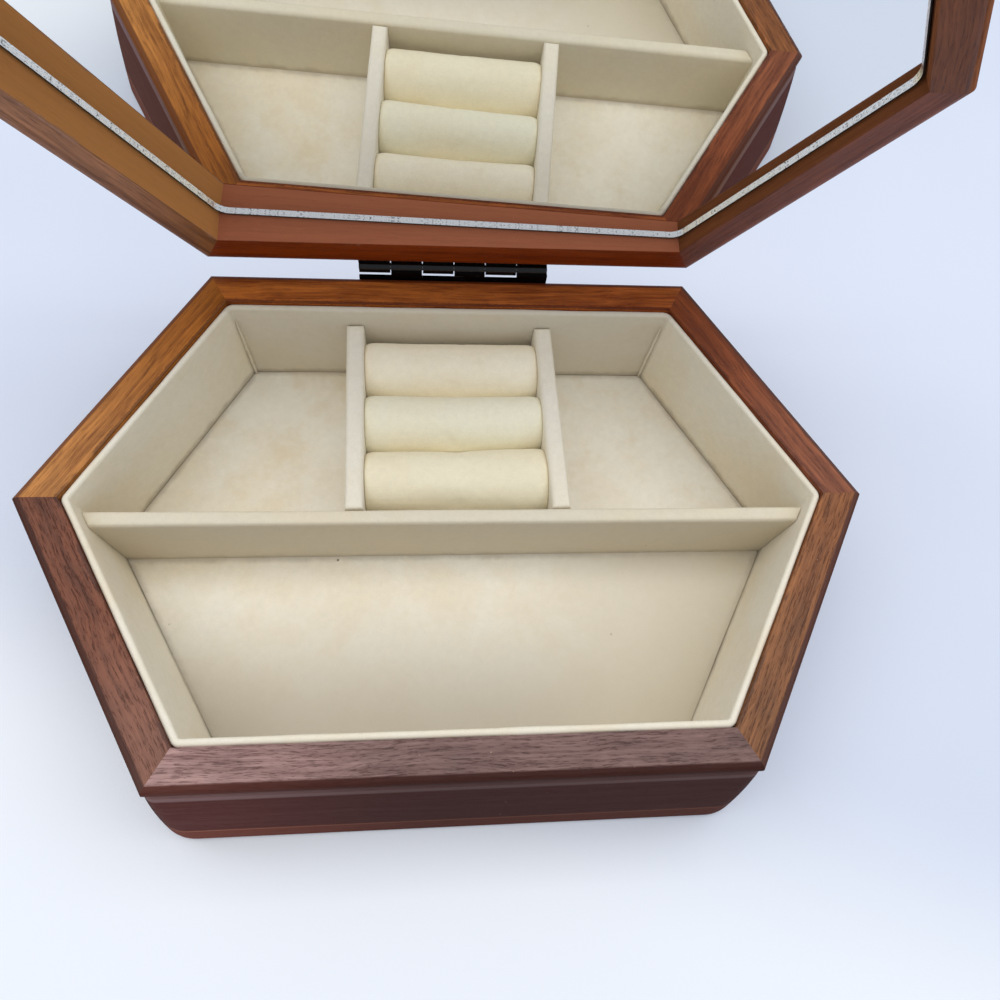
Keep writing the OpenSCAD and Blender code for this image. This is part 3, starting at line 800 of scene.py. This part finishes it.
def model_mirror(*finishes):
    """Glass with rounded corners and a ground edge round its silvering, modelled face down, then set askew in the lid.

    The finishes are those of the silvering, the ground edge and the rim, dressed black as painted shadow of the gap at
    the lid rail, in this order.
    """
    glass = hexagon_block("mirror", MIRROR_EDGE, 0, MIRROR_T)
    round_outline(glass, MIRROR_EDGE, [5] * 6)
    pick(glass, "FACE", lambda f: f.normal.z < -0.9)
    bpy.ops.mesh.inset(thickness=0.4 * MM)
    bpy.ops.mesh.extrude_region_move(TRANSFORM_OT_translate={"value": (0, 0, SILVER_BEHIND)})
    close_mesh()
    glass.data.materials.clear()
    for finish in finishes:
        glass.data.materials.append(finish)
    # The rim is dressed black as painted shadow of the gap between glass and rail
    silvering, ground_edge, gap_shadow_rim = 0, 1, 2
    square_cm = 0.0001
    for face in glass.data.polygons:
        recess = abs(face.center.z - SILVER_BEHIND / 2) < 0.1 * MM
        face.material_index = silvering if face.area > 10 * square_cm else ground_edge if recess else gap_shadow_rim
    only(glass)
    bpy.ops.object.shade_flat()
    place_piece(glass, (0, 0, LID_FACE + MIRROR_DEPTH), (0, radians(MIRROR_SKEW), 0))
    return glass


# What each piece wears

def finish_node(node, finish):
    part[node].material_slots[0].material = finish


def finish_boards():
    """Gives each board its own tones: light, dark, pore, worn edge, flared side and what changes between its ends."""
    case = {
        # Painted sheen: the front's lilac light and dark tones and its brighter left end stand for the lamp's
        # reflection on the rim
        "front": dict(
            # The front's dark wear along its inner edge is partly wear, partly painted shade of the gap at the lining
            light=(162, 130, 125), dark=(108, 79, 75), pore=(70, 46, 44), pores=0.55, mottle=0.25, wear=(96, 66, 60),
            scuffed=0.36, lip=(66, 24, 12), body=(74, 24, 18), ends=((1.5, 1.5, 1.5), (0.7, 0.68, 0.66)),
            over=(-85 * MM, -5 * MM)),
        "right_front": dict(
            light=(153, 98, 57), dark=(98, 58, 35), pore=(66, 38, 28), wear=(80, 50, 36),
            ends=((1.0, 1.08, 1.2), (1.12, 1.08, 1.06))),
        "right_back": dict(
            light=(150, 86, 56), dark=(102, 54, 38), pore=(64, 30, 22), pores=0.45, mottle=0.25, wear=(90, 44, 28),
            ends=((1.14, 1.22, 1.26), (1.1, 0.86, 0.5))),
        "back": dict(
            light=(206, 121, 62), dark=(133, 64, 32), pore=(70, 28, 12), pores=0.3, mottle=0.28, wear=(84, 34, 22),
            scuffed=0.75, lip=(104, 46, 18), ends=((0.88, 0.78, 0.65), (0.94, 0.9, 0.6))),
        "left_back": dict(
            light=(186, 118, 56), dark=(122, 68, 28), pore=(82, 42, 18), pores=0.35, mottle=0.25, wear=(96, 56, 30),
            scuffed=0.6, lip=(110, 60, 26), ends=((0.97, 0.85, 0.5), (1.18, 1.34, 1.55))),
        "left_front": dict(
            light=(142, 92, 74), dark=(88, 52, 40), pore=(54, 28, 22), wear=(74, 44, 36),
            ends=((0.8, 0.68, 0.55), (1.03, 1.15, 1.2)), over=(-5 * MM, HALF_SLANT)),
    }
    # The lid rails' inner-wall tones are painted light on those up-facing walls
    lid = {
        "front": dict(
            light=(150, 86, 54), dark=(104, 54, 32), pore=(64, 30, 18), pores=0.4, mottle=0.2, scuffed=0.3),
        "right_front": dict(
            light=(128, 74, 44), dark=(88, 46, 26), pore=(58, 28, 16), pores=0.4, mottle=0.25, scuffed=0.3),
        "right_back": dict(
            light=(136, 76, 56), dark=(90, 47, 33), pore=(54, 30, 20), pores=0.4, mottle=0.25, scuffed=0.3,
            lit_inner_wall_tone=(120, 70, 38)),
        "back": dict(
            light=(140, 56, 6), dark=(104, 34, 2), pore=(64, 20, 4), pores=0.3, mottle=0.15, scuffed=0.35,
            lit_inner_wall_tone=(208, 126, 92)),
        "left_back": dict(
            light=(180, 124, 88), dark=(123, 78, 51), pore=(78, 44, 26), pores=0.4, scuffed=0.45,
            lit_inner_wall_tone=(230, 160, 92), ends=((0.72, 0.6, 0.32), (1, 1, 1)), over=(-44 * MM, -6 * MM)),
        "left_front": dict(
            light=(160, 106, 70), dark=(110, 66, 38), pore=(70, 38, 20), pores=0.3, mottle=0.2, scuffed=0.3),
    }
    for side in SIDE_TURN:
        finish_node(side + "_board", board_finish(side, False, **case[side]))
        finish_node("lid_" + side + "_rail", board_finish(side, True, **lid[side]))


def build():
    bpy.ops.object.select_all(action="DESELECT")
    finish_boards()
    finish_node("lid_panel", plain_wood_finish("lid_panel_finish", (150, 92, 48), (104, 56, 26), 3.0))
    ply = plain_wood_finish("plywood_finish", (206, 172, 124), (176, 138, 92), 5.0)
    for node in ("bottom_panel", "false_floor", "floor_battens"):
        finish_node(node, ply)
    finish_node("base_felt", pressed_finish("felt_finish", (44, 36, 34), (76, 64, 58), 1.0))
    finish_node("mirror_bed", pressed_finish("card_finish", (84, 70, 56), (122, 104, 84), 2.0))
    black = metal_finish("black_lacquer", (4, 4, 5), (90, 90, 88), 0.08, 0.0, 1.0)
    for node in ("hinge_base_leaf", "hinge_lid_leaf", "base_leaf_screws", "lid_leaf_screws"):
        finish_node(node, black)
    finish_node("hinge_pin", metal_finish("pin_steel", (118, 118, 120), (190, 190, 190), 0.25, 1.0, 2.0))

    cream, yellowed = (240, 234, 217), (234, 216, 180)
    back_wall = HALF_DEPTH - LINER_IN
    # Painted shade on the back wall, which faces the front
    walls = cloth_finish("wall_cloth", cream, yellowed, 0.45, 0.6, 1.0, foot_shade=0.4,
                         front_facing_shade=(back_wall - 2 * MM, back_wall - 0.5 * MM))
    floor_cloth = cloth_finish("floor_cloth", (247, 242, 228), yellowed, 0.45, 0.8, 4.0, floor=True)
    divider_front = DIVIDER_BACK - DIVIDER_T
    # The long divider's cream is darker as painted shade
    long_cloth = cloth_finish("long_divider_cloth", (225, 217, 196), yellowed, 0.3, 0.7, 7.0, foot_shade=0.3,
                              front_facing_shade=(divider_front + 0.9 * MM, divider_front + 0.3 * MM))
    ring_cloth = cloth_finish("ring_divider_cloth", (241, 234, 217), yellowed, 0.3, 0.7, 8.0, foot_shade=0.3)
    dress(model_lining_band(), walls, "base", "lining", "liner_front", "liner_right_front", "liner_right_back",
          "liner_back", "liner_left_back", "liner_left_front")
    dress(model_lining_floor(), floor_cloth, "base", "lining", "liner_floor")
    dress(model_long_divider(), long_cloth, "base", "lining", "long_divider")
    dress(model_ring_divider(-1), ring_cloth, "base", "lining", "left_ring_divider")
    dress(model_ring_divider(1), ring_cloth, "base", "lining", "right_ring_divider")
    for right in (-1, 1):
        dress(model_corner_fold(right), walls, "base", "lining")
    # The rolls get lighter towards the back as painted light, making up for the shade of the lid and the back wall
    roll_cloths = {"ring_roll_front": (246, 237, 208), "ring_roll_middle": (248, 243, 218),
                   "ring_roll_back": (255, 246, 222)}
    for i, (node, tone) in enumerate(roll_cloths.items()):
        cloth = cloth_finish(node + "_cloth", tone, (244, 222, 182), 0.3, 0.3, 10.0 + i)
        roll = foam_roll(node, i)
        dress(roll, cloth, "base", "roll_fabric", node)

    # Black painted shadow for the gap between the mirror's rim and the lid rail
    gap_shadow_finish = pressed_finish("mirror_gap_shadow", (14, 13, 13), (30, 28, 27), 3.0, 0.02 * MM)
    mirror = model_mirror(*mirror_finishes(), gap_shadow_finish)
    open_with_lid(mirror)
    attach(mirror, "lid")
    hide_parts("mirror_glass")


# Camera, light and table

def set_camera():
    bpy.ops.object.camera_add(location=CAMERA_SPOT, rotation=[radians(turn) for turn in CAMERA_TILT])
    camera = bpy.context.object
    camera.name = "photo_camera"
    camera.data.sensor_width = SENSOR_W
    camera.data.lens = LENS
    camera.data.clip_start = 0.01
    bpy.context.scene.camera = camera


def hang_lamp():
    """A long soft lamp above the box, pointed at the middle of the table."""
    bpy.ops.object.light_add(type="AREA", location=LAMP_SPOT)
    lamp = bpy.context.object
    lamp.name = "ceiling_light"
    lamp.rotation_euler = (-Vector(LAMP_SPOT)).to_track_quat("-Z", "Y").to_euler()
    lamp.data.shape = "RECTANGLE"
    lamp.data.size, lamp.data.size_y = LAMP_SIZE
    lamp.data.energy = LAMP_WATTS
    lamp.data.color = LAMP_COLOUR


def set_stage():
    """A pale bluish table, with painted light whitening it towards the viewer, under an even sky and one lamp."""
    bpy.ops.object.select_all(action="DESELECT")
    bpy.ops.mesh.primitive_plane_add(size=6, location=(0, 0, 0))
    table = bpy.context.object
    table.name = table.data.name = "pale_table"
    finish, tree, shader, place = new_finish("pale_table_top")
    cloud = noise(tree, place, 5, 2, 0.5, 1.0)
    colour = tint(tree, step(tree, cloud, 0.35, 0.65), paint(216, 225, 242), paint(221, 229, 245))
    # Painted light: the table is whitened in front of the box, lifting its shadow there
    front_light_lift = dot(tree, place, (-0.35, -1, 0))
    colour = tint(tree, step(tree, front_light_lift, 30 * MM, 110 * MM), colour, paint(243, 248, 255))
    grain = noise(tree, place, 900, 2, 0.5, 2.0)
    rough = scaled(tree, cloud, 0.1, 0.6)
    wire_surface(tree, shader, colour, grain, rough, 0.05 * MM)
    table.data.materials.append(finish)
    world = bpy.data.worlds.new("studio")
    bpy.context.scene.world = world
    world.use_nodes = True
    sky = world.node_tree.nodes["Background"].inputs
    sky["Color"].default_value = paint(*SKY_COLOUR)
    sky["Strength"].default_value = SKY_STRENGTH
    hang_lamp()
    bpy.context.scene.view_settings.view_transform = "Standard"


set_camera()
set_stage()
build()
